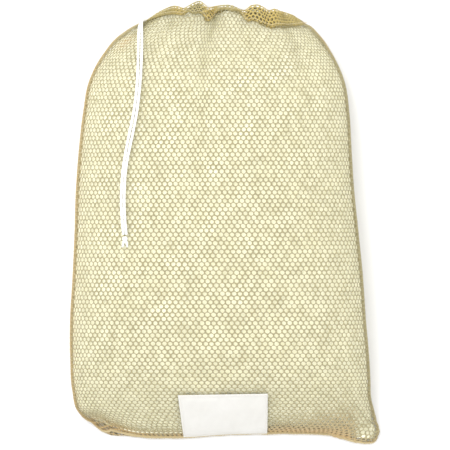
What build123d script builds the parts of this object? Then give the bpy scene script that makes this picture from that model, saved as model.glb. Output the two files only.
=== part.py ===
# A net laundry bag, full and lying on its back, with its mouth gathered on a drawstring.
# Millimetres. +X to the right of the bag, +Y from the bottom seam to the mouth, +Z up from the floor.
# The origin is on the floor, below the middle of the bag.
import os
from math import pi, radians, tan

from build123d import *

# Driving dimensions
net_thickness = 3.0  # a sheet of net with its knots
seam_thickness = 5.0  # rolled and overlocked edges of both sheets
seam_height = 8.0
seam_rise = 0.36  # where the side seams run, as a share of the bag's thickness
foot_run = 1.15  # how far the rounded underside reaches in, as a share of the seam's height
crown_handles = (0.40, 0.66)  # how full the crowned front is: along its top, and up its sides

# Cross-sections of the full bag, from the bottom seam to the mouth:
# place along Y, left edge, right edge, height of the crown, height of the underside
stations = (
    (-426, -232, 256, 13, 0),
    (-412, -268, 279, 32, 0),
    (-385, -293, 290, 66, 0),
    (-340, -305, 291, 108, 0),
    (-275, -309, 288, 140, 0),
    (-195, -309, 281, 158, 0),
    (-110, -304, 275, 165, 0),
    (-20, -300, 266, 165, 0),
    (70, -297, 257, 163, 0),
    (150, -291, 252, 155, 0),
    (220, -283, 248, 141, 0),
    (283, -271, 238, 119, 0),
    (335, -244, 215, 90, 0),
    (375, -209, 188, 62, 2),
    (401, -166, 159, 45, 8),
    (416, -128, 126, 39, 12),
)
mouth_end = 401.0  # where the net ends and the casings begin
load_insets = (5, 9, 9, 9, 9, 9, 9, 9, 9, 9, 9, 9, 10, 12, 12, 9)  # how far inside the washing stays
load_start, load_end = -402.0, 380.0

mouth_y = 403.0  # inner edge of the casings
rim_y = 443.0  # top of the gathered rim
mouth_left, mouth_right = -160.0, 153.0
casing_height = 12.0
casing_end = 12.0  # how tall the casings are at their two ends
casing_wall = 2.0
back_casing_z = 9.0
mouth_gap = 10.0  # between the two casings, where the washing goes in
front_casing_z = back_casing_z + casing_height + mouth_gap

cord = 5.0
knot_place = (-198, -35, 154.5)
knot_ball = 5.4  # radius of the knot's middle
knot_turn, knot_offset, knot_twist = 4.6, 3.2, 14  # its two turns: radius, place to the side, slant
tail_length = 9.0
tail_start = 5.0  # where the cut ends begin, from the middle of the knot
tail_leans = (-9, 12)
thread = 1.2
tack_corners = ((-190, 386, 14), (-150, 396, 30))  # the sewn tack below the cord's exit
tack_lift, tack_thickness = 0.2, 1.6

bottom_strip_height = 7.0
seam_end = -412.0  # where the side seams meet the bottom seam
bottom_outline = (
    (-232, -424), (-222, -432), (-84, -435), (84, -428), (212, -430), (262, -443), (290, -441),
    (306, -428), (310, -414), (303, -392), (292, -372), (262, -372), (250, -424),
)
patch_corners = ((-92, -345), (84, -343), (84, -424), (-84, -424))
patch_lift, patch_thickness = 0.4, 1.4
stitch_margin = 4.0

# The two free strands, from the exit at the left corner of the mouth to the knot.
left_route = (
    (-164, 405, 24),
    (-172, 396, 40),
    (-173, 372, 59),
    (-173, 331, 87),
    (-174, 278, 115.5),
    (-180, 220, 132.5),
    (-192, 163, 141.5),
    (-203, 104, 146),
    (-206, 45, 148.5),
    (-204, 0, 150.5),
    (-201, -26, 153),
)
right_route = (
    (-167, 404, 37),
    (-167, 390, 48),
    (-166, 366, 66),
    (-166, 328, 91),
    (-168, 277, 117),
    (-174, 218, 134.5),
    (-185, 163, 143.5),
    (-197, 106, 148),
    (-200, 45, 150.5),
    (-198, 0, 152.5),
    (-195, -26, 155),
)


def section(station, inset, sunk=0.0):
    # one closed cross-section: flat underside, two rounded lower sides, crowned front
    y, left, right, crown, under = station
    seam = under + (crown - under) * seam_rise
    left, right, crown, under = left + inset, right - inset, crown - inset, under + inset - sunk
    seam = max(seam, under + 0.3 * (crown - under))
    middle = (left + right) / 2
    low, high = foot_run * (seam - under), crown - seam
    reach, lift = crown_handles
    plane = Plane(origin=(0, y, 0), x_dir=(1, 0, 0), z_dir=(0, -1, 0))
    edges = [Line((left + low, under), (right - low, under))]
    edges.append(Bezier(
        (right - low, under), (right - low * 0.4, under), (right, seam - 0.6 * (seam - under)), (right, seam)
    ))
    edges.append(Bezier(
        (right, seam), (right, seam + lift * high), (middle + (1 - reach) * (right - middle), crown),
        (middle, crown),
    ))
    edges.append(Bezier(
        (middle, crown), (middle - (1 - reach) * (middle - left), crown), (left, seam + lift * high),
        (left, seam),
    ))
    edges.append(Bezier(
        (left, seam), (left, seam - 0.6 * (seam - under)), (left + low * 0.4, under), (left + low, under)
    ))
    return plane * make_face(Wire(edges))


def bag_form(inset, sunk=0.0):
    # the whole bag as one solid up to the mouth, its surface moved in by inset
    whole = loft([section(station, inset, sunk) for station in stations])
    return whole & block((-500, -500, -50), (500, mouth_end, 400))


def seam_blade(offset):
    # everything above the line that the side seams follow, moved up by offset
    line = [(y, under + (crown - under) * seam_rise + offset) for y, _, _, crown, under in stations]
    low_end, high_end = line[0], line[-1]
    outline = Polyline(
        (low_end[0] - 60, low_end[1]), *line, (high_end[0] + 60, high_end[1]), (high_end[0] + 60, 400),
        (low_end[0] - 60, 400), close=True,
    )
    side = Plane(origin=(-400, 0, 0), x_dir=(0, 1, 0), z_dir=(1, 0, 0))
    return extrude(side * make_face(outline), 800)


def above_floor(shape):
    return shape & block((-500, -600, 0), (500, 600, 500))


def net_skin(thickness):
    # the wall of the bag, open at the mouth and closed at the bottom seam
    whole = loft([section(station, thickness) for station in stations])
    hollow = whole & block((-500, seam_end, -50), (500, mouth_end + 50, 400))
    return above_floor(bag_form(0, sunk=1.0)) - hollow


def arched_face(left, right, base, shoulder, rim):
    # a flat face with a straight base, short upright ends and an arched rim
    middle = (left + right) / 2
    arch = ThreePointArc((left, base + shoulder), (middle, rim), (right, base + shoulder))
    sides = Polyline((right, base + shoulder), (right, base), (left, base), (left, base + shoulder))
    return make_face(Wire([arch, *sides.edges()]))


def casing(base_z):
    # a tunnel of doubled net along the gathered rim, open at both ends for the cord
    outer = arched_face(mouth_left, mouth_right, mouth_y, casing_end, rim_y)
    inner = arched_face(
        mouth_left - 8, mouth_right + 8, mouth_y + casing_wall, casing_end - 2 * casing_wall - 2,
        rim_y - casing_wall,
    )
    shell = Pos(0, 0, base_z) * extrude(outer, casing_height)
    space = Pos(0, 0, base_z + casing_wall) * extrude(inner, casing_height - 2 * casing_wall)
    return shell - space


def cord_run(base_z):
    # the cord inside a casing, following the rim
    z = base_z + casing_height / 2
    left, right = mouth_left - 1, mouth_right + 6
    end_y = mouth_y + casing_end / 2
    arch = ThreePointArc((left, end_y, z), ((left + right) / 2, rim_y - 8, z), (right, end_y, z))
    return sweep(Plane(origin=arch @ 0, z_dir=arch % 0) * Circle(cord / 2), path=arch)


def corner_loop():
    # the cord turning from the back casing up to the front one, just short of the front run
    low, high = back_casing_z + casing_height / 2, front_casing_z + casing_height / 2
    x, y, reach = mouth_right + 6, mouth_y + casing_end / 2, (high - low) / 2
    turn = ThreePointArc((x + 1.2, y - 0.6, low), (x + reach, y - 4, low + reach), (x + 1.2, y - 0.6, high))
    return sweep(Plane(origin=turn @ 0, z_dir=turn % 0) * Circle(cord / 2), path=turn)


def bend_radii(points):
    # each arc is as large as its two runs allow
    radii = []
    for before, here, after in zip(points, points[1:], points[2:]):
        back, ahead = Vector(here) - Vector(before), Vector(after) - Vector(here)
        turn = back.get_angle(ahead)
        radii.append(0.45 * min(back.length, ahead.length) / tan(radians(turn / 2)))
    return radii


def free_strand(name, points):
    radii = bend_radii(points)
    path = FilletPolyline(*points, radius=radii)
    tube = sweep(Plane(origin=path @ 0, z_dir=path % 0) * Circle(cord / 2), path=path)
    expected = pi * (cord / 2) ** 2 * path.length
    print(name, "length", round(path.length), "radii", [round(r) for r in radii],
          "volume share", round(tube.volume / expected, 3))
    return tube


def save(name, shape):
    export_step(shape, f"parts/{name}.step")


def skin_between(low, high):
    # a thin layer that follows the outside of the bag, from low to high above the net
    return bag_form(-high) - bag_form(-low)


def block(low, high):
    # a box from its lowest to its highest corner
    size = [h - l for l, h in zip(low, high)]
    return Pos(*[(l + h) / 2 for l, h in zip(low, high)]) * Box(*size)


def build_panels():
    skin = net_skin(net_thickness)
    above_seam, below_seam = seam_blade(seam_height / 2), seam_blade(-seam_height / 2)
    save("front_panel", skin & above_seam)
    save("back_panel", skin - below_seam)
    rolled = (net_skin(seam_thickness) & below_seam) - above_seam
    save("left_side_seam", rolled & block((-400, seam_end, 0), (0, 500, 200)))
    save("right_side_seam", rolled & block((0, seam_end, 0), (400, 500, 200)))
    strip = extrude(make_face(Polyline(*bottom_outline, close=True)), bottom_strip_height)
    strip -= bag_form(0, sunk=1.0)
    save("bottom_seam", strip + (rolled & block((-400, -500, 0), (400, seam_end, 200))))


def build_mouth():
    save("back_hem_casing", casing(back_casing_z))
    save("front_hem_casing", casing(front_casing_z))
    middle = (mouth_left + mouth_right) / 2
    row = Pos(middle, mouth_y + 3.0) * Rectangle(mouth_right - mouth_left - 50, thread)
    save("back_hem_stitching", Pos(0, 0, back_casing_z - thread / 2) * extrude(row, thread / 2))
    save("front_hem_stitching", Pos(0, 0, front_casing_z + casing_height) * extrude(row, thread / 2))
    save("exit_bartack", skin_between(tack_lift, tack_lift + tack_thickness) & block(*tack_corners))


def build_cord():
    save("drawstring_back_run", cord_run(back_casing_z))
    save("drawstring_front_run", cord_run(front_casing_z))
    save("drawstring_corner_loop", corner_loop())
    save("drawstring_left_strand", free_strand("left strand", left_route))
    save("drawstring_right_strand", free_strand("right strand", right_route))
    ring = Torus(knot_turn, cord / 2)
    low_turn = Pos(0, -knot_offset, 0) * Rot(90, 0, -knot_twist) * ring
    high_turn = Pos(0, knot_offset, 0) * Rot(90, 0, knot_twist) * ring
    knot = Pos(*knot_place) * (Sphere(knot_ball) + low_turn + high_turn)
    save("drawstring_knot", knot)
    tail = Rot(90, 0, 0) * Pos(0, 0, tail_length / 2 + tail_start) * Cylinder(cord / 2, tail_length)
    tails = [
        Pos(*knot_place) * Pos(side * knot_offset, 0, 0) * Rot(0, 0, lean) * tail - knot
        for side, lean in zip((-1, 1), tail_leans)
    ]
    save("drawstring_tails", Compound(tails))


def build_patch():
    outline = make_face(Polyline(*patch_corners, close=True))
    layer = skin_between(patch_lift, patch_lift + patch_thickness)
    save("id_patch", layer & Pos(0, 0, 4) * extrude(outline, 200))
    top = patch_lift + patch_thickness
    frame = offset(outline, -stitch_margin) - offset(outline, -stitch_margin - thread)
    save("id_patch_stitching", skin_between(top, top + thread / 2) & Pos(0, 0, 4) * extrude(frame, 200))


def build_load():
    whole = loft([section(station, inset) for station, inset in zip(stations, load_insets)])
    save("linen_load", whole & block((-400, load_start, 0), (400, load_end, 300)))


os.makedirs("parts", exist_ok=True)
build_panels()
build_mouth()
build_cord()
build_patch()
build_load()
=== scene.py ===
import math

import bpy
import numpy as np
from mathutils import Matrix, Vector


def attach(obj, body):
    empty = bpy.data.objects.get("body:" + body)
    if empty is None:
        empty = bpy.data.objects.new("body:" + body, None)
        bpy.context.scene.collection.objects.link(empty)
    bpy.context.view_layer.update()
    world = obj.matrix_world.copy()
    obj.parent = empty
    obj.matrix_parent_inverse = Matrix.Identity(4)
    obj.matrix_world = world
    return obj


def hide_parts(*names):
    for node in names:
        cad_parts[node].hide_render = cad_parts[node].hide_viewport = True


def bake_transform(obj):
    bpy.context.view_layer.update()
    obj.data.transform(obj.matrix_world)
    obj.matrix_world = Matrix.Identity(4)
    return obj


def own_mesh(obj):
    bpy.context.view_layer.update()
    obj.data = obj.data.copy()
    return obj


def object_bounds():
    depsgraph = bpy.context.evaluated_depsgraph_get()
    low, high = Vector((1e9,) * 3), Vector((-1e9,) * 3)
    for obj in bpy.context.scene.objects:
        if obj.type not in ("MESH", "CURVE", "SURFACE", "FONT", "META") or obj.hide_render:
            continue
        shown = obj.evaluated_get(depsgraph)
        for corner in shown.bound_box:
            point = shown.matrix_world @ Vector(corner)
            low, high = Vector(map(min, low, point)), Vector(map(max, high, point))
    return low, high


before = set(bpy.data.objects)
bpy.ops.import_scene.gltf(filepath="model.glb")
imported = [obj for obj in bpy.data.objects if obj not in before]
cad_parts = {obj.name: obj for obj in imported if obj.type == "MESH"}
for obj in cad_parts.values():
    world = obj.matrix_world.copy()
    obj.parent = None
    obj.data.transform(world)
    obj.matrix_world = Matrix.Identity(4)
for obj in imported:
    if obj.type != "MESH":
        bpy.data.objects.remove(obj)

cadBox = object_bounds()
cadSize = cadBox[1] - cadBox[0]
print("frame loaded, CAD size", [round(side, 3) for side in cadSize])


def smoothThrough(knots, at):
    # cubic pieces through the knots, with each knot's slope taken from its neighbours
    knots = np.asarray(knots, float)
    x, y = knots[:, 0], knots[:, 1:]
    slope = np.gradient(y, x, axis=0)
    at = np.clip(at, x[0], x[-1])
    i = np.clip(np.searchsorted(x, at) - 1, 0, len(x) - 2)
    width = (x[i + 1] - x[i])[..., None]
    t = (at - x[i])[..., None] / width
    rise = y[i + 1] - y[i]
    a, b = slope[i] * width - rise, rise - slope[i + 1] * width
    return y[i] + t * rise + t * (1 - t) * (a * (1 - t) + b * t)


def smoothStep(low, high, value):
    # 0 below low, 1 above high, and an S curve between
    t = np.clip((value - low) / (high - low), 0, 1)
    return t * t * (3 - 2 * t)


def bell(distance, width):
    # a bell curve, 1 in the middle
    return np.exp(-((distance / width) ** 2))


def ripples(x, y, size, seed, waves=7):
    # soft random bumps between about -1 and 1: a sum of sines in random directions
    rng = np.random.default_rng(seed)
    total = np.zeros(np.broadcast(x, y).shape)
    for turn, phase, stretch in rng.random((waves, 3)):
        angle, pitch = turn * 2 * math.pi, size * (0.6 + 0.9 * stretch)
        across = x * math.cos(angle) + y * math.sin(angle)
        total += np.sin(across * 2 * math.pi / pitch + phase * 6.283)
    return total / math.sqrt(waves)


def unit(vectors):
    # each vector over its own length
    return vectors / np.maximum(np.linalg.norm(vectors, axis=-1, keepdims=True), 1e-12)


def gridNormals(grid):
    # the upward side of a grid of points: the cross product of its two directions
    return unit(np.cross(np.gradient(grid, axis=1), np.gradient(grid, axis=0)))


def sampleGrid(grid, across, along):
    # blends the four grid points around each place; across and along run from 0 to 1
    rows, columns = grid.shape[:2]
    c = np.clip(across, 0, 1) * (columns - 1)
    r = np.clip(along, 0, 1) * (rows - 1)
    c0, r0 = np.minimum(c.astype(int), columns - 2), np.minimum(r.astype(int), rows - 2)
    fc, fr = (c - c0)[..., None], (r - r0)[..., None]
    low = grid[r0, c0] * (1 - fc) + grid[r0, c0 + 1] * fc
    high = grid[r0 + 1, c0] * (1 - fc) + grid[r0 + 1, c0 + 1] * fc
    return low * (1 - fr) + high * fr


def gridFaces(rows, columns, ring=False, loop=False):
    # four-sided faces of a grid; ring joins the last column to the first, loop the last row
    r = np.arange(rows if loop else rows - 1)[:, None]
    c = np.arange(columns if ring else columns - 1)[None, :]
    r1, c1 = (r + 1) % rows, (c + 1) % columns
    corners = [r * columns + c, r * columns + c1, r1 * columns + c1, r1 * columns + c]
    return np.stack(corners, -1).reshape(-1, 4)


def makePiece(name, points, faces, material, **marks):
    # a mesh object at the origin; marks are numbers per point that materials read by name
    mesh = bpy.data.meshes.new(name)
    lists = [f.tolist() if isinstance(f, np.ndarray) else f for f in faces]
    mesh.from_pydata(np.reshape(points, (-1, 3)).tolist(), [], [face for part in lists for face in part])
    mesh.validate()
    mesh.polygons.foreach_set("use_smooth", [True] * len(mesh.polygons))
    for mark, values in marks.items():
        layer = mesh.attributes.new(mark, "FLOAT", "POINT")
        layer.data.foreach_set("value", np.asarray(values, np.float32).ravel())
    mesh.materials.append(material)
    piece = bpy.data.objects.new(name, mesh)
    bpy.context.scene.collection.objects.link(piece)
    return piece


def standsFor(piece, node, body=None):
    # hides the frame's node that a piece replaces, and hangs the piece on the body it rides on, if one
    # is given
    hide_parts(node)
    if body:
        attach(piece, body)


def lengthAlong(path):
    # at each point, the sum of the steps that lead to it
    steps = np.linalg.norm(np.diff(path, axis=0), axis=1)
    return np.concatenate([[0], np.cumsum(steps)])


def evenPath(path, step):
    # the same path with points a step apart
    along = lengthAlong(path)
    at = np.linspace(0, along[-1], max(int(along[-1] / step), 2) + 1)
    return np.stack([np.interp(at, along, path[:, k]) for k in range(3)], -1)


def tube(path, radius, sides=10, up=(0, 0, 1), closed=False, bumps=None, flat=1.0):
    # rings round a path: radius across, and flat times that along up; bumps(along, angle) changes the
    # radius, and flat ends close the tube
    path = np.asarray(path, float)
    ahead = np.roll(path, -1, 0) - np.roll(path, 1, 0) if closed else np.gradient(path, axis=0)
    ahead = unit(ahead)
    side = unit(np.cross(ahead, np.broadcast_to(up, path.shape)))
    top = np.cross(side, ahead)
    angle = np.linspace(0, 2 * math.pi, sides, endpoint=False)
    along = lengthAlong(path)
    radius = np.broadcast_to(np.asarray(radius, float).reshape(-1, 1), (len(path), sides)).copy()
    if bumps is not None:
        radius *= bumps(along[:, None], angle[None, :])
    ring = side[:, None] * np.cos(angle)[None, :, None]
    ring = ring + top[:, None] * flat * np.sin(angle)[None, :, None]
    points = path[:, None] + ring * radius[..., None]
    faces = [gridFaces(len(path), sides, ring=True, loop=closed)[:, ::-1]]
    if not closed:
        last = (len(path) - 1) * sides
        faces.append([list(range(sides)), [last + k for k in reversed(range(sides))]])
    return points.reshape(-1, 3), faces


def joined(parts):
    # several (points, faces) as one
    points, faces, start = [], [], 0
    for pts, fcs in parts:
        pts = np.reshape(pts, (-1, 3))
        points.append(pts)
        for f in fcs:
            isArray = isinstance(f, np.ndarray)
            faces.append(f + start if isArray else [[k + start for k in face] for face in f])
        start += len(pts)
    return np.concatenate(points), faces


class Wire:
    # one socket of a material's nodes; sums on it add Math nodes
    def __init__(self, tree, socket=None):
        self.tree, self.socket = tree, socket

    def node(self, kind, settings=(), inputs=(), output=0):
        made = self.tree.nodes.new(kind)
        for name, value in dict(settings).items():
            if name == "stops":
                self.setStops(made.color_ramp, value)
            else:
                setattr(made, name, value)
        for key, value in dict(inputs).items():
            if isinstance(value, Wire):
                self.tree.links.new(value.socket, made.inputs[key])
            else:
                made.inputs[key].default_value = value
        return Wire(self.tree, made.outputs[output])

    def setStops(self, ramp, stops):
        while len(ramp.elements) < len(stops):
            ramp.elements.new(0.5)
        for element, (place, colour) in zip(ramp.elements, stops):
            element.position, element.color = place, colour

    def sum(self, operation, first, second):
        return self.node("ShaderNodeMath", {"operation": operation}, {0: first, 1: second})

    def __add__(self, other):
        return self.sum("ADD", self, other)

    def __sub__(self, other):
        return self.sum("SUBTRACT", self, other)

    def __rsub__(self, other):
        return self.sum("SUBTRACT", other, self)

    def __mul__(self, other):
        return self.sum("MULTIPLY", self, other)

    __radd__, __rmul__ = __add__, __mul__


def colour(red, green, blue):
    # a screen colour out of 255 as the linear colour that shaders use: a power curve of each share,
    # for shares above a twentieth, as all are here
    return (*[((c / 255 + 0.055) / 1.055) ** 2.4 for c in (red, green, blue)], 1)


class Finish:
    # a material with its shader, and the textures that most of the finishes here use
    def __init__(self, name, roughness, sheen=0.0, specular=0.3):
        self.material = bpy.data.materials.new(name)
        self.material.use_nodes = True
        self.tree = self.material.node_tree
        self.shader = self.tree.nodes["Principled BSDF"]
        self.shader.inputs["Roughness"].default_value = roughness
        self.shader.inputs["Sheen Weight"].default_value = sheen
        self.shader.inputs["Specular IOR Level"].default_value = specular
        self.start = Wire(self.tree)
        self.place = self.start.node("ShaderNodeTexCoord", output="Object")

    def mark(self, name):
        # a number that the mesh holds for each point
        return self.start.node("ShaderNodeAttribute", {"attribute_name": name}, output="Fac")

    def noise(self, scale, detail=2.0):
        inputs = {"Vector": self.place, "Scale": scale, "Detail": detail}
        return self.start.node("ShaderNodeTexNoise", inputs=inputs)

    def wave(self, scale, direction, distortion):
        settings = {"bands_direction": direction}
        inputs = {"Vector": self.place, "Scale": scale, "Distortion": distortion}
        return self.start.node("ShaderNodeTexWave", settings, inputs, output="Fac")

    def mix(self, factor, first, second):
        inputs = {0: factor, 6: first, 7: second}
        return self.start.node("ShaderNodeMix", {"data_type": "RGBA"}, inputs, output=2)

    def feed(self, socket, wire):
        self.tree.links.new(wire.socket, self.shader.inputs[socket])

    def bump(self, height, strength, distance):
        inputs = {"Height": height, "Strength": strength, "Distance": distance}
        self.feed("Normal", self.start.node("ShaderNodeBump", inputs=inputs))


netLook = {
    "light": colour(211, 203, 166),
    "dark": colour(160, 151, 113),
    "knot": colour(112, 106, 72),  # where strands meet
    # tan is also the colour of the painted shade in the fold by the drawstring's exit
    "tan": colour(184, 158, 112),  # where the yarn is crowded
    "knotShare": 0.55,
    "patchy": 26,  # scale of the broad noise
    "fibre": 2600,  # scale of the hairs
}
hemLook = {
    **netLook,
    "light": colour(210, 200, 150),
    "dark": colour(168, 156, 104),
    "tan": colour(188, 166, 96),
}


def netYarn(name, look):
    # straw-coloured yarn: broad and fine noise, darker where strands meet, tan where the yarn is crowded
    # and as painted shade in one fold, with a hairy surface
    finish = Finish(name, roughness=0.75, sheen=0.15, specular=0.25)
    patchy = finish.noise(look["patchy"]) * 0.5 + finish.noise(look["fibre"] * 0.25) * 0.5
    yarn = finish.mix(patchy, look["dark"], look["light"])
    knots = finish.mark("knot") * look["knotShare"]
    yarn = finish.mix(knots, yarn, look["knot"])
    patches = finish.mark("tan") * (finish.noise(75) * 1.2 + 0.4)
    finish.feed("Base Color", finish.mix(patches, yarn, look["tan"]))
    finish.bump(finish.noise(look["fibre"], 3.0), 0.5, 0.0004)
    return finish.material


def threadFinish(name, light, dark):
    # sewing thread: two tones in short twists
    finish = Finish(name, roughness=0.7, sheen=0.2, specular=0.3)
    finish.feed("Base Color", finish.mix(finish.noise(900), dark, light))
    finish.bump(finish.wave(900, "DIAGONAL", 2.0), 0.4, 0.0003)
    return finish.material


def wovenFinish(name, light, dark, threads):
    # plain weave: crossed bands of fine threads, with soft patches of tone
    finish = Finish(name, roughness=0.85, sheen=0.1, specular=0.2)
    weave = finish.wave(threads, "X", 0.6) * 0.5 + finish.wave(threads, "Y", 0.6) * 0.5
    tone = finish.noise(18) * 0.7 + weave * 0.3
    finish.feed("Base Color", finish.mix(tone, dark, light))
    finish.bump(weave + finish.noise(60) * 0.6, 0.35, 0.0005)
    return finish.material


def cordFinish(name):
    # braided white cord: clean tops, with painted shade that greys it faintly between the plaits
    finish = Finish(name, roughness=0.6, sheen=0.25, specular=0.35)
    # painted shade: the less of a plait a point is on, the greyer it is painted
    hollowShade = 1 - finish.mark("plait")
    finish.feed("Base Color", finish.mix(hollowShade, colour(250, 250, 250), colour(196, 194, 190)))
    finish.bump(finish.noise(2200, 3.0), 0.35, 0.0003)
    return finish.material


materials = {
    "net": netYarn("netYarn", netLook),
    "hem": netYarn("hemYarn", hemLook),
    "seam": threadFinish("overlockThread", colour(206, 190, 150), colour(160, 142, 102)),
    "patchThread": threadFinish("patchThread", colour(236, 233, 226), colour(220, 217, 208)),
    "thread": threadFinish("sewingThread", colour(226, 216, 184), colour(190, 176, 136)),
    "cord": cordFinish("braidedCord"),
    "patch": wovenFinish("patchCloth", colour(222, 221, 217), colour(212, 210, 204), 900),
    "linen": wovenFinish("linenCloth", colour(255, 253, 230), colour(253, 250, 218), 500),
}
print("materials ready")

# Cross-sections from the bottom seam to the mouth, in millimetres:
# place along Y, left edge, right edge, height of the crown, height of the underside
bagShape = {
    "stations": [
        (-426, -232, 256, 13, 0),
        (-412, -268, 279, 32, 0),
        (-385, -293, 290, 66, 0),
        (-340, -305, 291, 108, 0),
        (-275, -309, 288, 140, 0),
        (-195, -309, 281, 158, 0),
        (-110, -304, 275, 165, 0),
        (-20, -300, 266, 165, 0),
        (70, -297, 257, 163, 0),
        (150, -291, 252, 155, 0),
        (220, -283, 248, 141, 0),
        (283, -271, 238, 119, 0),
        (335, -244, 215, 90, 0),
        (375, -209, 188, 62, 2),
        (401, -166, 159, 45, 8),
        (416, -128, 126, 39, 12),
    ],
    "seamRise": 0.36,  # where the side seams run, as a share of the thickness
    "footRun": 1.15,  # how far the rounded underside reaches in, as a share of the seam's height
    "crownReach": 0.40,
    "crownLift": 0.66,
    "mouthY": 401.0,
    "sideCrowd": 0.10,  # how much closer the columns of net lie towards the sides
    "bow": 10.0,  # how much the rows of net arch at the mouth
    "rimDraw": 18.0,  # how far the corners of the mouth are drawn in from its lower edge to the rim
    "rimRise": 33.0,
    # a typical half section, which spaces the columns: its width, the height of its crown above the
    # seam, the reach of its rounded underside, and the height of the seam
    "half": (282, 104, 64, 56),
}
# the gathered rim above the line between the corners of the mouth: place along X, height
rimLine = [
    (-166, -1), (-159, 2), (-131, 17), (-113, 25), (-101, 28), (-91, 26), (-83, 23), (-75, 27),
    (-62, 34), (-51, 37), (-42, 32), (-34, 25), (-24, 27), (-12, 29), (2, 30), (15, 28), (33, 21),
    (40, 20), (51, 28), (66, 30), (78, 25), (88, 19), (98, 22), (112, 18), (126, 14), (142, 8),
    (153, 2), (161, -2),
]
# gathers that run down from the rim: place across as a share, depth, width as a share, how far they
# reach, and how tightly they draw the columns together
pleats = [
    (-0.95, 3, 0.06, 60, 0.60),
    (-0.78, 9, 0.08, 75, 0.72),
    (-0.54, 5, 0.085, 50, 0.65),
    (-0.31, 3, 0.05, 45, 0.60),
    (-0.09, 20, 0.125, 150, 0.86),
    (0.21, 7, 0.07, 40, 0.65),
    (0.42, 3, 0.05, 45, 0.60),
    (0.62, 10, 0.10, 110, 0.72),
    (0.78, 4, 0.04, 90, 0.65),
    (0.91, 4, 0.08, 55, 0.60),
]
# the bottom seam, and how far the back sheet bulges past it: place along X, place along Y
seamEdge = [
    (-268, -403), (-250, -411), (-232, -418), (-215, -423), (-200, -427), (-182, -431), (-150, -433),
    (-84, -433), (0, -427), (90, -425), (170, -424), (212, -426), (258, -431),
]
backEdge = [
    (-268, -405), (-250, -419), (-232, -430), (-215, -431), (-200, -428), (-182, -429), (-150, -431),
    (-84, -431), (0, -425), (90, -423), (170, -422), (212, -424), (258, -429),
]


def stationsAt(y):
    # left edge, right edge, crown and underside at each place along Y
    return np.moveaxis(smoothThrough(bagShape["stations"], y), -1, 0)


def crownCurve(q):
    # a quarter of the crowned front, q from its edge (0) to the crown (1): a cubic Bezier curve
    p = 1 - q
    outward = p**3 + 3 * p**2 * q + 3 * p * q**2 * (1 - bagShape["crownReach"])
    upward = 3 * p**2 * q * bagShape["crownLift"] + 3 * p * q**2 + q**3
    return outward, upward


def footCurve(q):
    # a quarter of the rounded lower side, q from the seam (0) to where it meets the floor (1)
    p = 1 - q
    inward = 3 * p * q**2 * 0.4 + q**3
    downward = 3 * p**2 * q * 0.6 + 3 * p * q**2 + q**3
    return inward, downward


def evenly(curve, wide, tall):
    # a table that turns an even share of a curve's length into its own parameter
    q = np.linspace(0, 1, 300)
    a, b = curve(q)
    steps = np.hypot(np.diff(a) * wide, np.diff(b) * tall)
    length = np.concatenate([[0], np.cumsum(steps)])
    return lambda share: np.interp(share, length / length[-1], q), length[-1]


halfWidth, crownRise, footReach, seamHeight = bagShape["half"]
crownAt, crownLength = evenly(crownCurve, halfWidth, crownRise)
footAt, footLength = evenly(footCurve, footReach, seamHeight)
flatLength = halfWidth - footReach


def rimHeight(x):
    # a smooth curve through the rim's places
    return smoothThrough(rimLine, x)[..., 0]


def rowPlaces(count):
    # nominal heights of even rows: Y up to the mouth, then on to the rim, by the crown's own length
    y = np.linspace(bagShape["stations"][0][0] - 3, bagShape["mouthY"], 400)
    length = np.concatenate([[0], np.cumsum(np.hypot(np.diff(y), np.diff(stationsAt(y)[2])))])
    total = length[-1] + bagShape["rimRise"] + 2
    want = np.linspace(0, total, count)
    below = np.interp(want, length, y)
    return np.where(want > length[-1], bagShape["mouthY"] + want - length[-1], below), total


def gather(share, fromRim):
    # columns crowd together in the pleats, and the net dips there
    crowding, dip = np.ones(np.broadcast(share, fromRim).shape), 0.0
    share = share + bagShape["sideCrowd"] * share * (1 - share**2)
    for place, depth, width, reach, draw in pleats:
        fade = np.exp(-np.maximum(fromRim, 0) / reach)
        pull = bell(share - place, width * (0.4 + 0.6 * fade)) * fade
        crowding = crowding * (1 - draw * pull)
        dip = dip + depth * pull
    spread = np.gradient(share, axis=1)
    moved = np.cumsum(crowding * spread, axis=1)
    moved = (moved - moved[:, :1]) / (moved[:, -1:] - moved[:, :1]) * 2 - 1
    return moved, dip


earShape = {
    "from": -345,  # the height along Y where it starts, and over how much it grows
    "deep": 84,
    "out": 48,
    "down": 14,
    "flat": {True: 7.0, False: 2.0},  # how high the front and the back sheet lie in it
    "crumple": (16, 8),  # sizes of its coarse and fine crumples
    "tip": (296, -424),
}


def cornerEar(x, y, z, share, nominal, flatZ):
    # the flattened corner at the right end of the bottom seam: outwards, down and flat by S curves of
    # the share across, times the square of how far down it is
    down = np.clip((earShape["from"] - nominal) / earShape["deep"], 0, 1) ** 2
    nearEdge = smoothStep(0.72, 1.0, share)
    dip = earShape["down"] * down * smoothStep(0.66, 0.88, share)
    dip = dip * (1 - 0.45 * smoothStep(0.92, 1.0, share))
    flat = down * smoothStep(0.78, 0.97, share)
    coarse, fine = earShape["crumple"]
    crumple = (ripples(x, y, coarse, 71) * 1.5 + ripples(x, y, fine, 72) * 0.9) * flat
    x = x + earShape["out"] * down * nearEdge + crumple
    return x, y - dip + crumple, z + (flatZ - z) * flat + crumple


def creases(x, y):
    # folds that run out from the flattened corner: a sine of the turn round its tip, in a ring
    tipX, tipY = earShape["tip"]
    away, turn = np.hypot(x - tipX, y - tipY), np.arctan2(y - tipY, tipX - x)
    return 2.4 * np.sin(turn * 17) * bell(away - 62, 42) * smoothStep(0.0, 0.25, turn) * (turn < 2.2)


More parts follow.
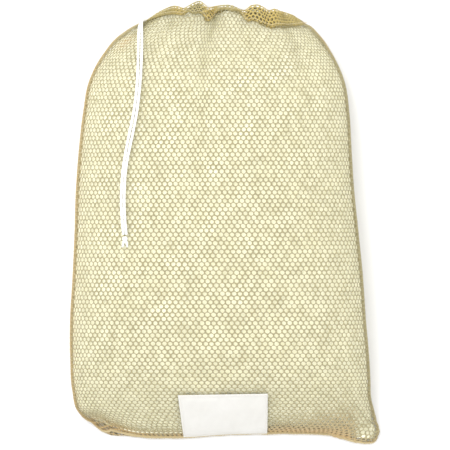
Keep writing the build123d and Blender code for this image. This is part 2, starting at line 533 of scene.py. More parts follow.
def bagGrid(columns, nominal, front, inset=0.0, dips=True, flatZ=None):
    # a sheet of the bag as a grid of points in millimetres, one row for each nominal height: the
    # section's curve between the edges there, then the rim, the bottom seam and the flattened corner
    share = np.linspace(-1, 1, columns)[None, :]
    nominal = np.asarray(nominal)[:, None]
    mouthY, rimRise = bagShape["mouthY"], bagShape["rimRise"]
    moved, dip = gather(share, mouthY + rimRise - nominal)
    if not front:
        moved, dip = moved[:, ::-1] * -1, dip * 0.3
    edge = 1 - np.abs(moved)
    low = np.minimum(nominal, mouthY)
    y = low - bagShape["bow"] * smoothStep(290, mouthY, low) * moved**2
    left, right, crown, under = stationsAt(y)
    seam = under + (crown - under) * bagShape["seamRise"]
    left, right, under = left + inset, right - inset, under + inset
    middle, half = (left + right) / 2, (right - left) / 2
    over = np.clip((nominal - mouthY) / rimRise, 0, 1.06)
    if front:
        outward, upward = crownCurve(crownAt(edge))
        x = middle + half * np.sign(moved) * outward
        z = seam + (crown - seam) * upward - 5 * over
    else:
        run = edge * (footLength + flatLength)
        inward, downward = footCurve(footAt(np.clip(run / footLength, 0, 1)))
        foot = bagShape["footRun"] * (seam - under)
        onFloor = np.clip((run - footLength) / flatLength, 0, 1)
        x = middle + np.sign(moved) * (half - foot * inward - (half - foot) * onFloor)
        z = seam - (seam - under) * downward + 4 * over
    x = x - bagShape["rimDraw"] * over * moved**3
    y = y + (rimHeight(x) + mouthY - y) * over
    lower = 1 - smoothStep(-429, -370, y)
    seamY, backY = smoothThrough(seamEdge, x)[..., 0], smoothThrough(backEdge, x)[..., 0]
    toSeam = 1 - smoothStep(-429, -415, nominal)
    bulged = y + (backY + 416) * lower
    bulged = bulged + (seamY - bulged) * toSeam
    if front:
        y = y + (seamY + 429) * lower
        crowd = smoothStep(60, 190, x) * (1 - smoothStep(220, 290, x))
        y = y - crowd * 9 * bell(y + 402, 20)
        y = y + (bulged - y) * smoothStep(0.78, 1.0, np.abs(moved))
        z = z + creases(x, y)
    else:
        y = bulged
    raised = seamY - backY
    z = z + (6 + inset * 0.2 + 0.55 * np.maximum(raised, 0) - z) * toSeam
    if dips:
        z = z - dip if front else z + dip
    flatZ = flatZ or earShape["flat"][front]
    x, y, z = cornerEar(x, y, z, moved, nominal, flatZ)
    return np.stack([x, y, z], -1)


print("bag form ready")

netShape = {
    "cell": (11.1, 8.35),  # pitch of the holes across, and of the rows, in millimetres
    "hole": (0.40, 0.503),  # half the hole, as shares of the pitches
    "extra": 1.07,  # more columns, because they lie closer at the sides
    "ridge": 1.0,  # how far the yarn stands above and below the sheet
    "holeSides": 8,
    "jitter": 0.05,
}


def ringTriangles(outer, inner):
    # triangles that fill the ring between an outer and an inner polygon, both from the top and
    # turning left
    k, m, made = 0, 0, []
    while k < outer or m < inner:
        if (k + 1) / outer <= (m + 1) / inner:
            made.append((k % outer, (k + 1) % outer, outer + m % inner))
            k += 1
        else:
            made.append((k % outer, outer + (m + 1) % inner, outer + m % inner))
            m += 1
    return np.array(made)


def netOn(grid, columns, rows, seed, hole=netShape["hole"], ridge=netShape["ridge"], closing=None):
    # staggered hexagonal cells over a grid of points: each is a ring of yarn round a hole, with a
    # raised ridge that it shares with its neighbours, above and below
    rng = np.random.default_rng(seed)
    i, j = [a.ravel() for a in np.meshgrid(np.arange(columns), np.arange(rows))]
    cellX, cellY = i + 0.5 + 0.5 * (j % 2), j + 0.5
    # its corners, in halves of a cell across and sixths along
    corners = np.array([(0, 4), (-1, 2), (-1, -2), (0, -4), (1, -2), (1, 2)])
    cornerX = (2 * cellX).astype(int)[:, None] + corners[:, 0]
    cornerY = np.rint(6 * cellY).astype(int)[:, None] + corners[:, 1]
    keys, cornerOf, uses = np.unique(
        (cornerX + 10) * 100000 + cornerY + 10, return_inverse=True, return_counts=True
    )
    cornerOf = cornerOf.reshape(cornerX.shape)
    outer = np.stack([(keys // 100000 - 10) / 2, (keys % 100000 - 10) / 6], -1)
    outer += rng.uniform(-1, 1, outer.shape) * netShape["jitter"]
    sides = netShape["holeSides"]
    angle = np.linspace(0, 2 * math.pi, sides, endpoint=False) + math.pi / 2
    size = 1 + rng.uniform(-0.09, 0.07, (len(cellX), 1))
    if closing:
        size = size * (1 - closing(cellX / (columns + 0.5), cellY / rows))[:, None]
    shift = rng.uniform(-1, 1, (len(cellX), 2)) * netShape["jitter"] * 0.7
    inner = np.stack([
        (cellX + shift[:, 0])[:, None] + hole[0] * size * np.cos(angle),
        (cellY + shift[:, 1])[:, None] + hole[1] * size * np.sin(angle),
    ], -1).reshape(-1, 2)
    flat = np.concatenate([outer, outer, inner])
    normals = gridNormals(grid)
    across, along = flat[:, 0] / (columns + 0.5), flat[:, 1] / rows
    ones, zeros = np.ones(len(outer)), np.zeros(len(inner))
    lift = np.concatenate([ones * ridge, ones * -ridge, zeros])
    points = sampleGrid(grid, across, along) + sampleGrid(normals, across, along) * lift[:, None]
    triangles = ringTriangles(6, sides)
    innerOf = 2 * len(outer) + np.arange(len(cellX))[:, None] * sides + np.arange(sides)
    lowerOf = np.where(uses[cornerOf] < 3, cornerOf, cornerOf + len(outer))
    above = np.concatenate([cornerOf, innerOf], 1)[:, triangles].reshape(-1, 3)
    below = np.concatenate([lowerOf, innerOf], 1)[:, triangles].reshape(-1, 3)
    apart = (above != below).any(1)  # along the sheet's edges the yarn is a single layer
    faces = np.concatenate([above, below[apart, ::-1]])
    kept, faces = np.unique(faces, return_inverse=True)
    knot = np.concatenate([ones, ones, zeros])[kept]
    return points[kept] * 0.001, [faces.reshape(-1, 3)], knot, across[kept], along[kept]


rowHeights, sheetLength = rowPlaces(230)
frontWidth, backWidth = 2 * crownLength, 2 * (footLength + flatLength)
netRows = round(sheetLength / netShape["cell"][1])
print("net sheets in mm", round(frontWidth), round(backWidth), round(sheetLength), "with rows", netRows)


def draggedZone(across, along):
    # the band by the bottom seam, between the patch and the flattened corner, that widens to the right
    width = 0.030 + 0.036 * smoothStep(0.60, 0.85, across)
    return bell(along, width) * smoothStep(0.59, 0.66, across) * (1 - smoothStep(0.86, 0.92, across))


def seamCrowd(across, along):
    # how closed the holes are: pulled shut at the bottom seam, most where the washing drags on it
    # before the flattened corner, unevenly in that corner, and a little along the shoulders
    dragged = draggedZone(across, along)
    rolled = bell(along, 0.017) * (1 - smoothStep(0.88, 0.94, across))
    corner = smoothStep(0.88, 0.94, across) * (1 - smoothStep(0.06, 0.10, along))
    corner = corner * (0.04 + 0.3 * ripples(across * 600, along * 900, 20, 73))
    shoulder = 0.45 * bell(1 - across, 0.022) * smoothStep(0.84, 0.92, along)
    return np.clip(0.6 * dragged + 0.5 * rolled + shoulder + corner, -0.1, 0.72)


def netTanAndFoldShade(across, along):
    # where the yarn is browner: edges and the bottom seam; and painted shade in the fold by the
    # drawstring's exit
    edges = 0.9 * bell(across, 0.045) + 0.2 * bell(1 - across, 0.025)
    dragged = draggedZone(across, along)
    left = 0.75 * bell(along, 0.045) * (1 - smoothStep(0.10, 0.26, across))
    # painted shade: the fold by the drawstring's exit is browned with the tan colour
    fold = 0.9 * bell(across - 0.12, 0.03) * bell(along - 0.915, 0.02)
    shoulder = 0.6 * bell(1 - across, 0.035) * smoothStep(0.84, 0.92, along)
    return np.minimum(edges + 0.7 * bell(along, 0.016) + 0.8 * dragged + left + fold + shoulder, 0.95)


def makeNet(name, grid, width, node, seed, closing=None):
    # as many cells across as the sheet's width holds, with a few more for its crowded sides
    columns = round(width / netShape["cell"][0] * netShape["extra"])
    points, faces, knot, across, along = netOn(grid, columns, netRows, seed, closing=closing)
    net = makePiece(name, points, faces, materials["net"], knot=knot, tan=netTanAndFoldShade(across, along))
    standsFor(net, node)
    return net


frontGrid = bagGrid(260, rowHeights, front=True)
backGrid = bagGrid(260, rowHeights, front=False)
backGrid[..., 2] += netShape["ridge"]
frontNet = makeNet("front_net", frontGrid, frontWidth, "front_panel", seed=3, closing=seamCrowd)
backNet = makeNet("back_net", backGrid, backWidth, "back_panel", seed=4)


def bendAtHinge(piece):
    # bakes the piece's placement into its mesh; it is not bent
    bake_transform(piece)


bendAtHinge(frontNet)
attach(backNet, "bag")
print("net ready", len(frontNet.data.polygons), len(backNet.data.polygons))

loadShape = {
    "inset": 1.0,
    "below": 4.5,  # how far it stays from the net
    "columns": 150,
    "rows": 150,
    "from": -413,  # where it starts and stops along Y
    "to": 428,
    "footTop": -370,  # up to where its lower end narrows
    "neck": 2.0,  # how much further it stays from the net towards the mouth, and at the rim
    "sink": 6.0,
    "foot": 9.0,  # how much further in its sides are at the bottom seam
    "base": 5.0,  # height that its end slopes down to at the bottom seam, and its distance from it
    "seamGap": 8.0,
    "earTop": 9.2,  # the heights of its top and its underside in the flattened corner
    "earUnder": -1.0,
    # the rings that close it: each one's share of the last, and how far along it lies
    "footRings": ((0.05, 9.5), (0.25, 8.5), (0.5, 6.0), (0.75, 3.0)),
    "headRings": ((0.97, 0.5), (0.88, 0.8), (0.5, 1.0), (0.02, 1.2)),
}


def washing():
    # rings just inside the net, softly dented, closed by shrinking rings at both ends
    nominal = np.linspace(loadShape["from"], loadShape["to"], loadShape["rows"])
    risen = smoothStep(loadShape["from"], loadShape["footTop"], nominal)[:, None]
    inset = loadShape["inset"] + loadShape["foot"] * (1 - risen)
    below = loadShape["below"] + loadShape["neck"] * smoothStep(300, 400, nominal)
    below = (below + loadShape["sink"] * smoothStep(412, 428, nominal))[:, None, None]
    top = bagGrid(loadShape["columns"], nominal, True, inset, flatZ=loadShape["earTop"])
    low = bagGrid(loadShape["columns"], nominal, False, inset, dips=False, flatZ=loadShape["earUnder"])
    top = top - gridNormals(top) * below
    low = low + gridNormals(low) * below
    low[..., 2] = np.minimum(low[..., 2], top[..., 2] - 1)
    x, y = top[..., 0], top[..., 1]
    dents = ripples(x, y, 90, 5) * 1.5 + ripples(x, y, 34, 6) * 0.6 - 1.2
    inside = 1 - np.abs(np.linspace(-1, 1, loadShape["columns"])) ** 6
    top[..., 2] += dents * inside * risen
    ring = np.concatenate([top, low[:, -2:0:-1]], 1)
    foot, head, centre = [], [], ring[-1].mean(0)
    for keep, out in loadShape["footRings"]:
        height = loadShape["base"] + (ring[0, :, 2] - loadShape["base"]) * keep
        foot.append(np.stack([ring[0, :, 0], ring[0, :, 1] - out, height], -1))
    for keep, out in loadShape["headRings"]:
        head.append(centre + (ring[-1] - centre) * keep + np.array([0, out, 0]))
    ring = np.concatenate([foot, ring, head])
    inEar = (earShape["down"] - 1) * smoothStep(222, 262, ring[..., 0])
    limit = smoothThrough(seamEdge, ring[..., 0])[..., 0] + loadShape["seamGap"] - inEar
    ring[..., 1] = np.maximum(ring[..., 1], limit)
    count, last = ring.shape[1], (ring.shape[0] - 1) * ring.shape[1]
    columns = loadShape["columns"]
    k = np.arange(1, columns - 2)
    strip = np.stack([k, k + 1, count - 1 - k, count - k], 1)
    corners = np.array([(0, 1, count - 1), (columns - 2, columns - 1, columns)])
    sides = gridFaces(ring.shape[0], count, ring=True)
    caps = [strip[:, ::-1], strip + last, corners[:, ::-1], corners + last]
    return ring.reshape(-1, 3) * 0.001, [sides, *caps]


load = makePiece("linen_load_cloth", *washing(), materials["linen"])
standsFor(load, "linen_load", "bag")
print("washing ready")

# the hems are tunnels of folded net along the rim
hemShape = {
    "columns": 58,
    "rows": 13,
    "ends": (-156, 149),  # where it starts and stops along X
    "spare": 0.5,  # how much further the tunnel reaches down inside than in front
    # how far the fold shows in front: place along X, height
    "shows": [
        (-165, 5), (-150, 7), (-132, 9), (-112, 14), (-98, 16), (-86, 14), (-76, 9), (-64, 20),
        (-47, 24), (-36, 29), (-25, 20), (-12, 10), (12, 9), (34, 10), (42, 24), (54, 30), (84, 37),
        (120, 31), (153, 16),
    ],
    "showsBehind": 12.0,
    # how golden it is: place along X, share
    "gold": [
        (-160, 0.3), (-110, 0.45), (-88, 0.8), (-75, 0.3), (-60, 0.1), (-46, 0.4), (-34, 1),
        (-22, 0.8), (-10, 0.4), (30, 0.5), (44, 0.9), (60, 0.7), (90, 0.95), (120, 0.6), (150, 0.5),
    ],
    "hole": (0.34, 0.36),
    "ridge": 0.7,
    "layers": ((0.0, 0), (1.6, 1)),  # how far inside each layer lies, and what it adds to the seed
}


def downFromRim(grid, depth):
    # points of each column of a sheet at a depth below its top row, and the sheet's normals there
    normals = gridNormals(grid)
    count = grid.shape[1]
    steps = np.linalg.norm(np.diff(grid[::-1], axis=0), axis=2)
    along = np.concatenate([np.zeros((1, count)), np.cumsum(steps, 0)])
    places = np.arange(len(along))
    row = np.stack([np.interp(depth[:, c], along[:, c], places) for c in range(count)], 1)
    columns = np.broadcast_to(np.linspace(0, 1, count), row.shape)
    share = 1 - row / (len(along) - 1)
    return sampleGrid(grid, columns, share), sampleGrid(normals, columns, share)


def hemGrid(sheet, shows, sign, inner=0.0):
    # each column's loop: up the outside from the fold's edge, over the rim, down inside, and back
    sheet = sheet[:, (sheet[-1, :, 0] > hemShape["ends"][0]) & (sheet[-1, :, 0] < hemShape["ends"][1])]
    x = sheet[-1, :, 0]
    wide = np.asarray(shows, float) if np.ndim(shows) == 0 else smoothThrough(shows, x)[..., 0]
    wide = np.broadcast_to(wide, x.shape)[None, :]
    deep = wide + hemShape["spare"] - inner * 2
    t = np.linspace(0, 1, 49)[:, None]
    knots = np.array([0, 0.1, 0.22, 0.4, 0.46, 0.52, 0.6, 0.8, 0.86, 0.92, 1.0])
    rim = wide * 0
    down = np.stack([wide - inner, wide * 0.8, wide * 0.45, rim + 3, rim - 3 + inner, rim + 1,
                     deep * 0.5, deep - 3, deep, deep - 3, wide - inner])[:, 0]
    lift = np.array([1.6, 3.2, 4.2, 3.2, -0.5, -3.8, -4.8, -4.4, -3.4, -2.6, -1.6]) * (1 - inner / 6)
    down = np.stack([np.interp(t[:, 0], knots, down[:, c]) for c in range(down.shape[1])], 1)
    lift = np.interp(t[:, 0], knots, lift)[:, None] * np.ones_like(down)
    over = np.minimum(down, 0) * smoothStep(-156, -140, x) * (1 - smoothStep(134, 149, x))
    base, normals = downFromRim(sheet, np.maximum(down, 0))
    base = base + np.stack([over * 0, -over, over * 0], -1)
    puff = 1 + 0.25 * ripples(base[..., 0], base[..., 1], 22, 11)
    corner = smoothStep(-156, -136, base[..., 0]) * (1 - smoothStep(128, 149, base[..., 0]))
    return base + normals * (lift * puff * sign * (0.25 + 0.75 * corner))[..., None]


def makeHem(name, sheet, shows, sign, node, seed):
    # two layers of cells on the tunnel's loop, one inside the other
    parts, knots = [], []
    for inner, offset in hemShape["layers"]:
        grid = hemGrid(sheet, shows, sign, inner)
        grid = grid if sign > 0 else grid[::-1]
        columns = hemShape["columns"] - offset * 3
        points, faces, knot = netOn(grid, columns, hemShape["rows"], seed + offset, hemShape["hole"],
                                    hemShape["ridge"])[:3]
        parts.append((points, faces))
        knots.append(knot)
    points, faces = joined(parts)
    gold = smoothThrough(hemShape["gold"], points[:, 0] * 1000)[:, 0]
    hem = makePiece(name, points, faces, materials["hem"], knot=np.concatenate(knots), tan=gold)
    standsFor(hem, node)
    return hem


frontHem = makeHem("front_hem_sleeve", frontGrid, hemShape["shows"], 1, "front_hem_casing", 21)
backHem = makeHem("back_hem_sleeve", backGrid, hemShape["showsBehind"], -1, "back_hem_casing", 31)
bendAtHinge(frontHem)
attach(backHem, "bag")
print("hems ready")


def stitches(middles, ways, length, radius, rise, up=(0, 0, 1)):
    # short bowed threads: five rings of six points round each one's own line
    middles, ways = np.asarray(middles, float), unit(np.asarray(ways, float))
    up = np.broadcast_to(np.asarray(up, float), middles.shape)
    side = unit(np.cross(ways, up))
    top = np.cross(side, ways)
    t = np.array([-1, -0.6, 0, 0.6, 1])
    thick = np.array([0.3, 0.9, 1, 0.9, 0.3]) * radius
    bow = rise * (1 - t**2)
    angle = np.linspace(0, 2 * math.pi, 6, endpoint=False)
    spine = middles[:, None] + ways[:, None] * (t * length / 2)[:, None] + top[:, None] * bow[:, None]
    ring = side[:, None, None] * np.cos(angle)[:, None] + top[:, None, None] * np.sin(angle)[:, None]
    points = spine[:, :, None] + ring * thick[:, None, None]
    body = gridFaces(5, 6, ring=True)[:, ::-1]
    first = np.arange(len(middles))[:, None, None] * 30
    caps = np.stack([np.arange(6), 24 + np.arange(6)[::-1]])
    return points.reshape(-1, 3), [(body + first).reshape(-1, 4), (caps + first).reshape(-1, 6)]


def alongLine(line, pitch):
    # even places on a line, and its direction there
    line = evenPath(line, pitch)
    return (line[1:] + line[:-1]) / 2, np.diff(line, axis=0)


sewing = {
    "pitch": 4.2,
    "length": 3.4,
    "radius": 0.55,
    "rise": 0.3,
    "hemStitch": 4.0,  # how far above the fold's edge the row runs, and how far off the sheet
    "off": 4.4,
}


def hemRow(sheet, shows, sign, name, node):
    # stitches at even places on a line that runs just above the hem's folded edge
    x = sheet[-1, :, 0]
    wide = smoothThrough(shows, x)[..., 0] if np.ndim(shows) else np.full(x.shape, shows)
    base, normals = downFromRim(sheet, (wide - sewing["hemStitch"])[None, :])
    line = base[0] + normals[0] * sewing["off"] * sign
    middles, ways = alongLine(line[4:-4], sewing["pitch"])
    length, radius, rise = [sewing[side] * 0.001 for side in ("length", "radius", "rise")]
    lay = stitches(middles * 0.001, ways, length, radius, rise, (0, 0, sign))
    piece = makePiece(name, *lay, materials["thread"])
    standsFor(piece, node)
    return piece


frontRow = hemRow(frontGrid, hemShape["shows"], 1, "front_hem_thread", "front_hem_stitching")
backRow = hemRow(backGrid, hemShape["showsBehind"], -1, "back_hem_thread", "back_hem_stitching")
bendAtHinge(frontRow)
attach(backRow, "bag")

seamShape = {
    "flat": 0.5,
    "pitch": 3.2,  # from one overlock stitch to the next
    "ridge": 0.16,
    # each seam's radius: places along it as shares, and the radius there
    "leftWide": ([0, 0.45, 0.55, 0.93, 1], [2.4, 2.6, 3.8, 2.6, 0.8]),
    "rightWide": ([0, 0.5, 0.85, 0.93, 1], [2.8, 2.6, 2.8, 2.6, 0.8]),
    "bottomWide": ([0, 0.1, 0.8, 0.95, 1], [2.6, 3.2, 3.2, 2.6, 2.4]),
    # loose ends past each seam: how many, seed, which way they point, length
    "leftHairs": (170, 41, (-1, 0, 0.2), 4.2),
    "rightHairs": (70, 42, (1, 0, 0.2), 3.0),
    "bottomHairs": (90, 43, (0, -1, 0.2), 2.6),
    "leftLoose": (-380, -30),  # where the loose ends start and stop along Y
    "rightLoose": (-400, 60),
    "top": 399,
    "movedIn": 2.6,
}


def overlock(along, angle):
    # slanted ridges where the thread wraps the seam
    turn = along * 1000 / seamShape["pitch"] * 2 * math.pi
    return 1 + seamShape["ridge"] * np.cos(turn + angle) + 0.05 * np.cos(turn * 0.37 + 3 * angle)


def seamLine(side):
    # the edge that the two sheets share, moved in a little
    column = 0 if side < 0 else -1
    line = (frontGrid[:, column] + backGrid[:, column]) / 2
    line = line[line[:, 1] < seamShape["top"]]
    line[:, 0] -= side * seamShape["movedIn"]
    return line


def makeSeam(name, node, line, wide, up, loose):
    # a flattened tube of looped thread along the line, a little uneven, and its loose ends
    path = evenPath(line * 0.001, 0.0011)
    along = np.linspace(0, 1, len(path))
    wobble = 1 + 0.12 * ripples(path[:, 0] * 1000, path[:, 1] * 1000, 40, 17)
    radius = np.interp(along, *wide) * 0.001 * wobble
    ring = tube(path, radius, 12, up, bumps=overlock, flat=seamShape["flat"])
    piece = makePiece(name, *joined([ring, loose]), materials["seam"])
    standsFor(piece, node, "bag")


def hairs(line, count, seed, outward, length):
    # loose ends of the net's strands that stick out past a seam
    rng = np.random.default_rng(seed)
    at = np.sort(rng.random(count)) * (len(line) - 1)
    base = np.stack([np.interp(at, np.arange(len(line)), line[:, k]) for k in range(3)], -1)
    ways = np.array(outward) + rng.uniform(-0.45, 0.45, (count, 3))
    ways = unit(ways)
    size = length * rng.uniform(0.6, 1.2, (count, 1))
    return stitches((base + ways * size * 0.5) * 0.001, ways, length * 0.001, 0.00055, 0.0004)


def between(line, limits):
    # the part of a line whose Y is between two limits
    return line[(line[:, 1] > limits[0]) & (line[:, 1] < limits[1])]


leftLine, rightLine = seamLine(-1), seamLine(1)
bottomLine = (frontGrid[0] + backGrid[0]) / 2
leftHairs = hairs(between(leftLine, seamShape["leftLoose"]), *seamShape["leftHairs"])
rightHairs = hairs(between(rightLine, seamShape["rightLoose"]), *seamShape["rightHairs"])
bottomHairs = hairs(bottomLine[4:-4], *seamShape["bottomHairs"])
seams = (
    ("left_seam_overlock", "left_side_seam", leftLine, "leftWide", (0.3, 0, 1), leftHairs),
    ("right_seam_overlock", "right_side_seam", rightLine, "rightWide", (-0.3, 0, 1), rightHairs),
    ("bottom_seam_overlock", "bottom_seam", bottomLine, "bottomWide", (0, 0.3, 1), bottomHairs),
)
for name, node, line, wide, up, loose in seams:
    makeSeam(name, node, line, seamShape[wide], up, loose)
print("seams ready")

patchShape = {
    # its corners on the front: top left, top right, bottom right, bottom left
    "corners": [(-93.5, -344.5), (85, -341.5), (85, -427.5), (-83, -433.5)],
    "size": (176, 127),  # laid flat
    "thickness": 1.3,
    "lift": 2.1,
    "hem": 5.0,
    "columns": 110,
    "rows": 90,
    "stitch": (3.4, 2.6, 0.4, 0.25),  # pitch, length, radius and rise
}


def onSheet(grid, x, y):
    # places across and along a sheet's grid that have these x and y, closed in on step by step
    near = np.argmin((grid[..., 0] - x.mean()) ** 2 + (grid[..., 1] - y.mean()) ** 2)
    row, column = np.unravel_index(near, grid.shape[:2])
    across = np.full(x.shape, column / (grid.shape[1] - 1))
    along = np.full(x.shape, row / (grid.shape[0] - 1))
    small = 0.002
    for _ in range(14):
        here = sampleGrid(grid, across, along)
        right = (sampleGrid(grid, across + small, along) - here) / small
        ahead = (sampleGrid(grid, across, along + small) - here) / small
        missX, missY = x - here[..., 0], y - here[..., 1]
        area = right[..., 0] * ahead[..., 1] - right[..., 1] * ahead[..., 0]
        across = across + 0.8 * (missX * ahead[..., 1] - missY * ahead[..., 0]) / area
        along = np.clip(along + 0.8 * (missY * right[..., 0] - missX * right[..., 1]) / area, 0, 0.99)
    return across, along


def slab(grid, thickness):
    # a closed sheet with a rounded edge: the grid lifted and lowered along its normals
    normals = gridNormals(grid)
    rows, columns = grid.shape[:2]
    top = (grid + normals * thickness / 2).reshape(-1, 3)
    low = (grid - normals * thickness / 2).reshape(-1, 3)
    faces = gridFaces(rows, columns)
    index = np.arange(rows * columns).reshape(rows, columns)
    edge = np.concatenate([index[0, :], index[1:, -1], index[-1, -2::-1], index[-2:0:-1, 0]])
    after = np.roll(edge, -1)
    total = rows * columns
    wall = np.stack([edge, edge + total, after + total, after], -1)
    return np.concatenate([top, low]), [faces, faces[:, ::-1] + total, wall]


def patchGrid():
    # the flat shape seen from above, laid down on the net in even rows, wavy and a little slack
    u, v = np.meshgrid(np.linspace(0, 1, patchShape["columns"]), np.linspace(0, 1, patchShape["rows"]))
    topLeft, topRight, lowRight, lowLeft = [np.array(corner) for corner in patchShape["corners"]]
    middle = frontGrid[:, frontGrid.shape[1] // 2]
    middle = middle[(middle[:, 1] > lowLeft[1]) & (middle[:, 1] < topLeft[1])]
    length = lengthAlong(middle)
    risen = (middle[:, 1] - middle[0, 1]) / (middle[-1, 1] - middle[0, 1])
    down = np.interp(v * length[-1], length, risen)
    u, down = u[..., None], down[..., None]
    place = (lowLeft * (1 - u) + lowRight * u) * (1 - down) + (topLeft * (1 - u) + topRight * u) * down
    across, along = onSheet(frontGrid, place[..., 0], place[..., 1])
    points = sampleGrid(frontGrid, across, along)
    normals = unit(sampleGrid(gridNormals(frontGrid), across, along))
    u = u[..., 0]
    x, y = points[..., 0], points[..., 1]
    wave = 0.7 * ripples(x, y, 60, 51) + 0.35 * ripples(x, y, 22, 52)
    wide, tall = patchShape["size"]
    edge = np.minimum(np.minimum(u, 1 - u) * wide, np.minimum(v, 1 - v) * tall)
    folded = 0.7 * smoothStep(patchShape["hem"] + 1.2, patchShape["hem"] - 0.4, edge)
    rounded = -0.9 * bell(edge, 1.1)
    lift = patchShape["lift"] + (wave + 0.7) * smoothStep(0, 12, edge) + folded + rounded
    return points + normals * lift[..., None]


patchPoints = patchGrid()
points, faces = slab(patchPoints, patchShape["thickness"])
patch = makePiece("cloth_patch", points * 0.001, faces, materials["patch"])
standsFor(patch, "id_patch", "bag")


def patchStitching():
    # a row of stitches inside the patch's folded edge, all the way round
    inset = 2  # rows and columns of the patch's grid
    lines = [
        patchPoints[inset, inset:-inset],
        patchPoints[inset:-inset, -inset - 1],
        patchPoints[-inset - 1, -inset - 1:inset - 1:-1],
        patchPoints[-inset - 1:inset - 1:-1, inset],
    ]
    pitch, *stitch = patchShape["stitch"]
    middles, ways = [np.concatenate(a) for a in zip(*[alongLine(line, pitch) for line in lines])]
    middles[:, 2] += patchShape["thickness"] * 0.75
    middles[:, 1] -= 0.4
    return stitches(middles * 0.001, ways, *[side / 1000 for side in stitch])


patchThread = makePiece("patch_thread", *patchStitching(), materials["patchThread"])
standsFor(patchThread, "id_patch_stitching", "bag")
print("patch ready")

cordShape = {
    "diameter": 5.0,
    "plait": 7.0,  # length of one turn of a plait
    "relief": 0.085,
    "step": 0.0006,
    "runStep": 0.0012,
    "sides": 18,
    "slideKeep": 0.81,  # what is left of the strands' length when the mouth is wide open
}
leftRoute = [
    (-164, 405, 24), (-172, 396, 40), (-173, 372, 59), (-173, 331, 87), (-174, 278, 115.5),
    (-180, 220, 132.5), (-192, 163, 141.5), (-203, 104, 146), (-206, 45, 148.5), (-204, 0, 150.5),
    (-201, -26, 153),
]
rightRoute = [
    (-167, 404, 37), (-167, 390, 48), (-166, 366, 66), (-166, 328, 91), (-168, 277, 117),
    (-174, 218, 134.5), (-185, 163, 143.5), (-197, 106, 148), (-200, 45, 150.5), (-198, 0, 152.5),
    (-195, -26, 155),
]


def splineLine(route):
    # the smooth line of a NURBS spline with the route's points as its control points, in metres
    curve = bpy.data.curves.new("route", "CURVE")
    curve.dimensions = "3D"
    curve.resolution_u = 16
    spline = curve.splines.new("NURBS")
    spline.points.add(len(route) - 1)
    controls = [value for x, y, z in route for value in (x / 1000, y / 1000, z / 1000, 1)]
    spline.points.foreach_set("co", controls)
    spline.order_u = 3
    spline.use_endpoint_u = True
    holder = bpy.data.objects.new("route", curve)
    mesh = bpy.data.meshes.new_from_object(holder)
    line = np.empty(len(mesh.vertices) * 3)
    mesh.vertices.foreach_get("co", line)
    bpy.data.objects.remove(holder)
    bpy.data.meshes.remove(mesh)
    bpy.data.curves.remove(curve)
    return line.reshape(-1, 3)


def braid(along, angle):
    # two families of plaits that cross round the cord; 1 on a plait, 0 in the hollows between
    turn = along * 1000 / cordShape["plait"] * 2 * math.pi
    first, second = np.cos(turn + 3 * angle), np.cos(turn - 3 * angle)
    return np.sqrt(np.maximum(np.abs(first), np.abs(second)) * 0.98)


def cordTube(path, closed=False, thin=1.0):
    # a round tube whose radius rises on each plait, with how much of a plait each point is on
    radius = cordShape["diameter"] / 2000 * thin
    points, faces = tube(path, radius, cordShape["sides"], (0.35, 0, 1), closed,
                         lambda a, b: 1 + cordShape["relief"] * (braid(a, b) * 2 - 1.6))
    along = lengthAlong(path)[:, None]
    angle = np.linspace(0, 2 * math.pi, cordShape["sides"], endpoint=False)[None, :]
    return points, faces, braid(along, angle).ravel()


def makeCord(name, parts, node, body):
    # one piece from parts of points, faces and marks
    points, faces = joined([part[:2] for part in parts])
    plait = np.concatenate([part[2] for part in parts])
    piece = makePiece(name, points, faces, materials["cord"], plait=plait)
    standsFor(piece, node, body)
    return piece

knotShape = {"place": (-198, -35.5, 154.5), "wide": 1.15, "long": 1.75, "tall": 1.3, "points": 130}
# a trefoil: two turns one way while it goes once round the other, and three times up and down
turn = np.linspace(0, 2 * math.pi, knotShape["points"], endpoint=False)
knotLine = np.stack([
    knotShape["wide"] * (np.sin(turn) + 2 * np.sin(2 * turn)),
    knotShape["long"] * (np.cos(turn) - 2 * np.cos(2 * turn)),
    -knotShape["tall"] * np.sin(3 * turn) * 1.6,
], -1)
knotLine = (knotLine + knotShape["place"]) * 0.001
knot = makeCord("tied_knot", [cordTube(knotLine, closed=True, thin=0.9)], "drawstring_knot", "cord_end")
tailShape = {"points": 12, "apart": 2.6, "length": 8.5, "threads": 22, "tuft": 0.0042}


def tail(side, lean, seed):
    # a short end of cord below the knot that opens into a tuft of threads
    x, y, z = knotShape["place"]
    t = np.linspace(0, 1, tailShape["points"])
    out, down = x + side * tailShape["apart"] + lean * t, y - 3 - tailShape["length"] * t
    line = np.stack([out, down, z - 1.2 * t * t], -1) * 0.001
    rng = np.random.default_rng(seed)
    count, length = tailShape["threads"], tailShape["tuft"]
    start = line[-1] + rng.normal(0, 0.0008, (count, 3))
    ways = unit(np.array([lean * 0.12, -1, 0]) + rng.normal(0, 0.17, (count, 3)))
    points, faces = stitches(start + ways * length * 0.4, ways, length, 0.00032, 0.0002)
    # the tuft threads count as mostly on a plait, so they get only a little of the cord's painted shade
    return [cordTube(line, thin=0.92), (points, faces, np.full(len(points), 0.85))]


tails = makeCord("cut_ends", tail(-1, -1.4, 61) + tail(1, 1.8, 62), "drawstring_tails", "cord_end")
strands = (
    ("left_strand", "drawstring_left_strand", leftRoute, [knot, tails]),
    ("right_strand", "drawstring_right_strand", rightRoute, ()),
)
for name, node, route, carried in strands:
    path = splineLine(route)
    strand = makeCord(name, [cordTube(evenPath(path, cordShape["step"]))], node, "bag")
    leaves = [v / 1000 for v in route[0]]
    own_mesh(strand)


def runLine(sheet, depth, lift):
    # a line inside a hem, a little below the rim, from corner to corner
    line, normals = downFromRim(sheet, np.full((1, sheet.shape[1]), depth))
    line = line[0] + normals[0] * lift
    inside = (line[:, 0] > -148) & (line[:, 0] < 126)
    return line[inside]


frontRunLine, backRunLine = runLine(frontGrid, 2.6, -0.4), runLine(backGrid, 3.0, 0.4)
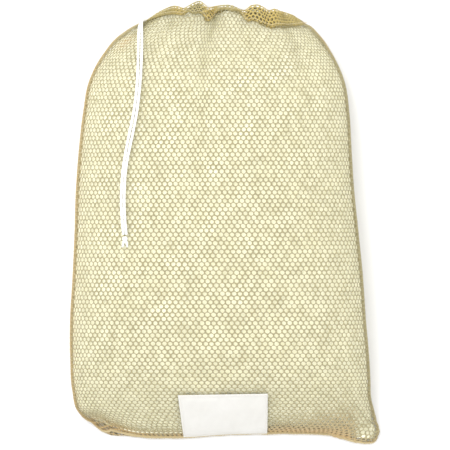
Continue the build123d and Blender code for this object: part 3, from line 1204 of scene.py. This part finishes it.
# half a turn from the end of one run to the end of the other, bowed outwards
start, end = frontRunLine[-1], backRunLine[-1]
bend = np.linspace(0, math.pi, 40)[:, None]
loopLine = (start + end) / 2 + (start - end) / 2 * np.cos(bend) + np.array([9, -3, 0]) * np.sin(bend)
# inside the hems the cord is squeezed a little thinner
runs = (
    ("front_run", frontRunLine, "mouth_front"),
    ("back_run", backRunLine, "bag"),
    ("corner_loop", loopLine, "bag"),
)
for name, line, body in runs:
    part = cordTube(evenPath(line * 0.001, cordShape["runStep"]), thin=0.9)
    makeCord(name, [part], "drawstring_" + name, body)

tackShape = {
    "seam": 14,  # how many of the seam line's last points it covers
    "pitch": 1.1,
    "above": 2.0,
    "lean": 1.05,  # how far each stitch leans along the seam, one way and the other
    "stitch": (0.0058, 0.0005, 0.0006),  # length, radius and rise
}


def bartack():
    # a close zigzag of thread over the seam, just under the place where the cord comes out
    middles, along = alongLine(leftLine[-tackShape["seam"]:], tackShape["pitch"])
    turn = np.where(np.arange(len(middles)) % 2 == 0, 1, -1)[:, None] * tackShape["lean"]
    ways = np.cross(along, np.array([0, 0, 1])) + along * turn
    places = (middles + np.array([0, 0, tackShape["above"]])) * 0.001
    return stitches(places, ways, *tackShape["stitch"])


tack = makePiece("bartack_thread", *bartack(), materials["thread"])
standsFor(tack, "exit_bartack", "bag")
print("drawstring ready")

cameraSetup = {"distance": 9.0, "frameWidth": 0.9, "centre": (0.0, -0.007, 0.06), "sensor": 36.0}
camera = bpy.data.objects.new("camera", bpy.data.cameras.new("camera"))
bpy.context.scene.collection.objects.link(camera)
camera.data.sensor_width = cameraSetup["sensor"]
camera.data.lens = cameraSetup["sensor"] * cameraSetup["distance"] / cameraSetup["frameWidth"]
camera.location = [c + d for c, d in zip(cameraSetup["centre"], (0, 0, cameraSetup["distance"]))]
camera.data.clip_end = 100
bpy.context.scene.camera = camera


def softLight(name, place, aim, size, power):
    # a square area light that faces a point
    data = bpy.data.lights.new(name, "AREA")
    data.size, data.energy = size, power
    lamp = bpy.data.objects.new(name, data)
    lamp.location = place
    way = np.array(aim) - np.array(place)
    lamp.rotation_euler = (math.acos(-way[2] / np.linalg.norm(way)), 0, math.atan2(-way[0], way[1]))
    bpy.context.scene.collection.objects.link(lamp)
    return lamp


softLight("overheadLight", (-1.2, 1.4, 3.0), (0, 0, 0), 2.0, 60)
world = bpy.data.worlds.new("studio")
world.use_nodes = True
world.node_tree.nodes["Background"].inputs["Color"].default_value = (1, 1, 1, 1)
world.node_tree.nodes["Background"].inputs["Strength"].default_value = 1.32
bpy.context.scene.world = world
bpy.context.scene.view_settings.view_transform = "Standard"

floorFinish = Finish("floorPaper", roughness=0.9)
floorFinish.shader.inputs["Base Color"].default_value = (0.9, 0.9, 0.9, 1)
half, drop = 30, 0.0005
corners = [(-half, -half, -drop), (half, -half, -drop), (half, half, -drop), (-half, half, -drop)]
floor = makePiece("floor", corners, [[[0, 1, 2, 3]]], floorFinish.material)
print("camera and light ready")
